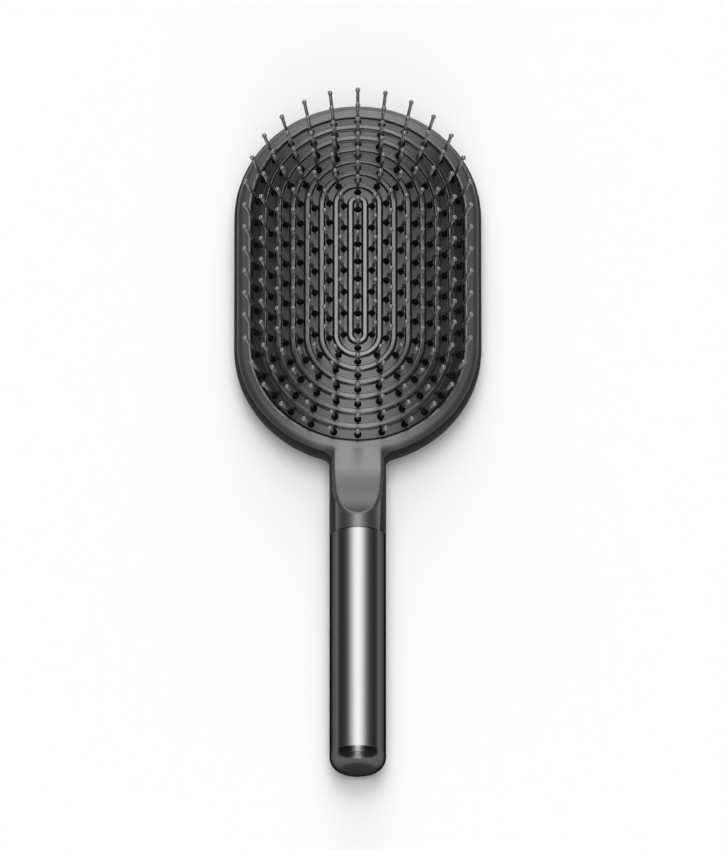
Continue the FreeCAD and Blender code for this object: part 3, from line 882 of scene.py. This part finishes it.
# Light of the studio's sky, as (place, level) stops. SPREAD goes by the sideways part of a direction, and
# LENGTH and FILL by half of one more than its lengthwise part.
# - Strip: long and soft overhead, along the brush
# - Bar: bright and narrow, by the distance from the lengthwise part that flat faces mirror to the camera
# - Front: a narrow strip on the handle's side
# - Horizon: a glow low down, by the upward part
# - Fill: weak light on the handle's side
STRIP_SPREAD_STOPS = ((0.0, 1.0), (0.2, 0.92), (0.28, 0.64), (0.345, 0.36), (0.41, 0.16), (0.52, 0.035),
                      (0.62, 0.02), (0.79, 0.018), (1.0, 0.01))
STRIP_LENGTH_STOPS = ((0.0, 0.14), (0.25, 0.16), (0.31, 0.26), (0.35, 0.50), (0.405, 0.57), (0.45, 0.53),
                      (0.55, 0.43), (0.65, 0.43), (0.71, 0.54), (0.775, 0.39), (0.855, 0.27), (0.90, 0.46),
                      (0.92, 0.95), (0.945, 1.0), (0.965, 0.25), (0.98, 0.06), (1.0, 0.03))
BAR_STOPS = ((0.013, 1.0), (0.024, 0.0))
BAR_SPREAD_STOPS = ((0.0, 1.0), (0.25, 0.9), (0.4, 0.66), (0.5, 0.40), (0.6, 0.18), (0.7, 0.085),
                    (0.78, 0.05), (0.9, 0.025), (1.0, 0.01))
HORIZON_STOPS = ((0.0, 1.0), (0.05, 0.62), (0.15, 0.22), (0.3, 0.0))
FILL_STOPS = ((0.0, 1.0), (0.3, 0.7), (0.42, 0.4), (0.6, 0.28), (0.705, 0.0))
FRONT_SPREAD_STOPS = ((0.1, 1.0), (0.22, 0.0))
FRONT_LENGTH_STOPS = ((0.0, 0.4), (0.5, 0.44), (0.6, 0.6), (0.68, 1.0), (0.715, 0.0))
STRIP_LEVEL = 4.2
BAR_LEVEL = 5.8
FRONT_LEVEL = 4.4
HORIZON_LEVEL = 0.7
FILL_LEVEL = 0.15


def add_sky():
    """Studio light as a sky of strips over the brush, dark to its left and right."""
    world = bpy.data.worlds.new("Studio")
    world.use_nodes = True
    bpy.context.scene.world = world
    tree = world.node_tree
    background = tree.nodes["Background"]
    background.inputs["Color"].default_value = (1, 1, 1, 1)
    direction = tree.nodes.new("ShaderNodeTexCoord").outputs["Generated"]
    split = tree.nodes.new("ShaderNodeSeparateXYZ")
    tree.links.new(direction, split.inputs[0])
    sideways = add_math(tree, "ABSOLUTE", split.outputs["X"])
    lengthwise = add_math(tree, "MULTIPLY", add_math(tree, "ADD", split.outputs["Y"], 1.0), 0.5)
    mirrored = math.sin(sizes().camera_tilt)
    from_bar = add_math(tree, "ABSOLUTE", add_math(tree, "SUBTRACT", split.outputs["Y"], mirrored))
    lights = ((STRIP_LEVEL, (lengthwise, STRIP_LENGTH_STOPS), (sideways, STRIP_SPREAD_STOPS)),
              (BAR_LEVEL, (from_bar, BAR_STOPS), (sideways, BAR_SPREAD_STOPS)),
              (FRONT_LEVEL, (lengthwise, FRONT_LENGTH_STOPS), (sideways, FRONT_SPREAD_STOPS)),
              (HORIZON_LEVEL, (split.outputs["Z"], HORIZON_STOPS)),
              (FILL_LEVEL, (lengthwise, FILL_STOPS)))
    total = 0.0
    for level, *ramps in lights:
        for value, stops in ramps:
            level = add_math(tree, "MULTIPLY", add_ramp(tree, value, stops), level)
        total = add_math(tree, "ADD", level, total)
    tree.links.new(total, background.inputs["Strength"])


def add_ramp(tree, value, stops):
    """Value read off a line through (place, level) stops."""
    ramp = tree.nodes.new("ShaderNodeValToRGB")
    for place, _ in stops[2:]:
        ramp.color_ramp.elements.new(place)
    for element, (place, level) in zip(ramp.color_ramp.elements, stops):
        element.position = place
        element.color = (level, level, level, 1)
    tree.links.new(value, ramp.inputs["Fac"])
    return ramp.outputs["Color"]


# The picture's size in pixels, where in it the paddle's centre on its back lies, and the camera's own sizes
PICTURE_WIDTH_PX = 725
PICTURE_HEIGHT_PX = 850
CENTRE_X_PX = 357.8
CENTRE_Y_PX = 296.6
SENSOR_WIDTH = 36.0
CLIP_NEAR = 0.01
CLIP_FAR = 100.0


def add_camera():
    """Long lens tilted from straight down towards the handle, framed as the picture is."""
    size = sizes()
    turn = Euler((size.camera_tilt, 0, 0))
    right, above = PICTURE_WIDTH_PX / 2 - CENTRE_X_PX, CENTRE_Y_PX - PICTURE_HEIGHT_PX / 2
    offset = Vector((right * size.pixel_size, above * size.pixel_size, 0))
    offset.rotate(turn)
    distance = PICTURE_HEIGHT_PX * size.pixel_size * size.camera_lens / SENSOR_WIDTH
    back = Vector((0, 0, distance))
    back.rotate(turn)
    camera = bpy.data.cameras.new("camera")
    camera.lens = size.camera_lens
    camera.sensor_width = SENSOR_WIDTH
    camera.clip_start = CLIP_NEAR
    camera.clip_end = CLIP_FAR
    holder = bpy.data.objects.new("camera", camera)
    holder.location = offset + back
    holder.rotation_euler = turn
    bpy.context.scene.collection.objects.link(holder)
    bpy.context.scene.camera = holder


class BRUSH_PT_panel(bpy.types.Panel):
    """The brush's sizes, finishes and pieces in the 3D view's sidebar"""
    bl_idname = "BRUSH_PT_panel"
    bl_label = "Paddle Brush"
    bl_space_type = "VIEW_3D"
    bl_region_type = "UI"
    bl_category = "Paddle Brush"

    def draw(self, context):
        for kind, values in ((BrushSizes, sizes()), (BrushFinishes, finishes())):
            for name in kind.__annotations__:
                self.layout.prop(values, name)
        for operator in OPERATORS:
            self.layout.operator(operator.bl_idname)


OPERATORS = (BRUSH_OT_mouldings, BRUSH_OT_cushion, BRUSH_OT_pins, BRUSH_OT_sleeve, BRUSH_OT_studio)
CLASSES = (BrushSizes, BrushFinishes) + OPERATORS + (BRUSH_PT_panel,)


def register():
    """Register the classes and put the sizes and finishes on the scene."""
    for item in CLASSES:
        bpy.utils.register_class(item)
    bpy.types.Scene.brush_sizes = bpy.props.PointerProperty(type=BrushSizes)
    bpy.types.Scene.brush_finishes = bpy.props.PointerProperty(type=BrushFinishes)


def unregister():
    """Take them away again."""
    del bpy.types.Scene.brush_finishes
    del bpy.types.Scene.brush_sizes
    for item in reversed(CLASSES):
        bpy.utils.unregister_class(item)


def main():
    """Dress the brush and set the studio."""
    register()
    bpy.ops.brush.mouldings()
    bpy.ops.brush.cushion()
    bpy.ops.brush.pins()
    bpy.ops.brush.sleeve()
    bpy.ops.brush.studio()


if __name__ == "__main__":
    main()
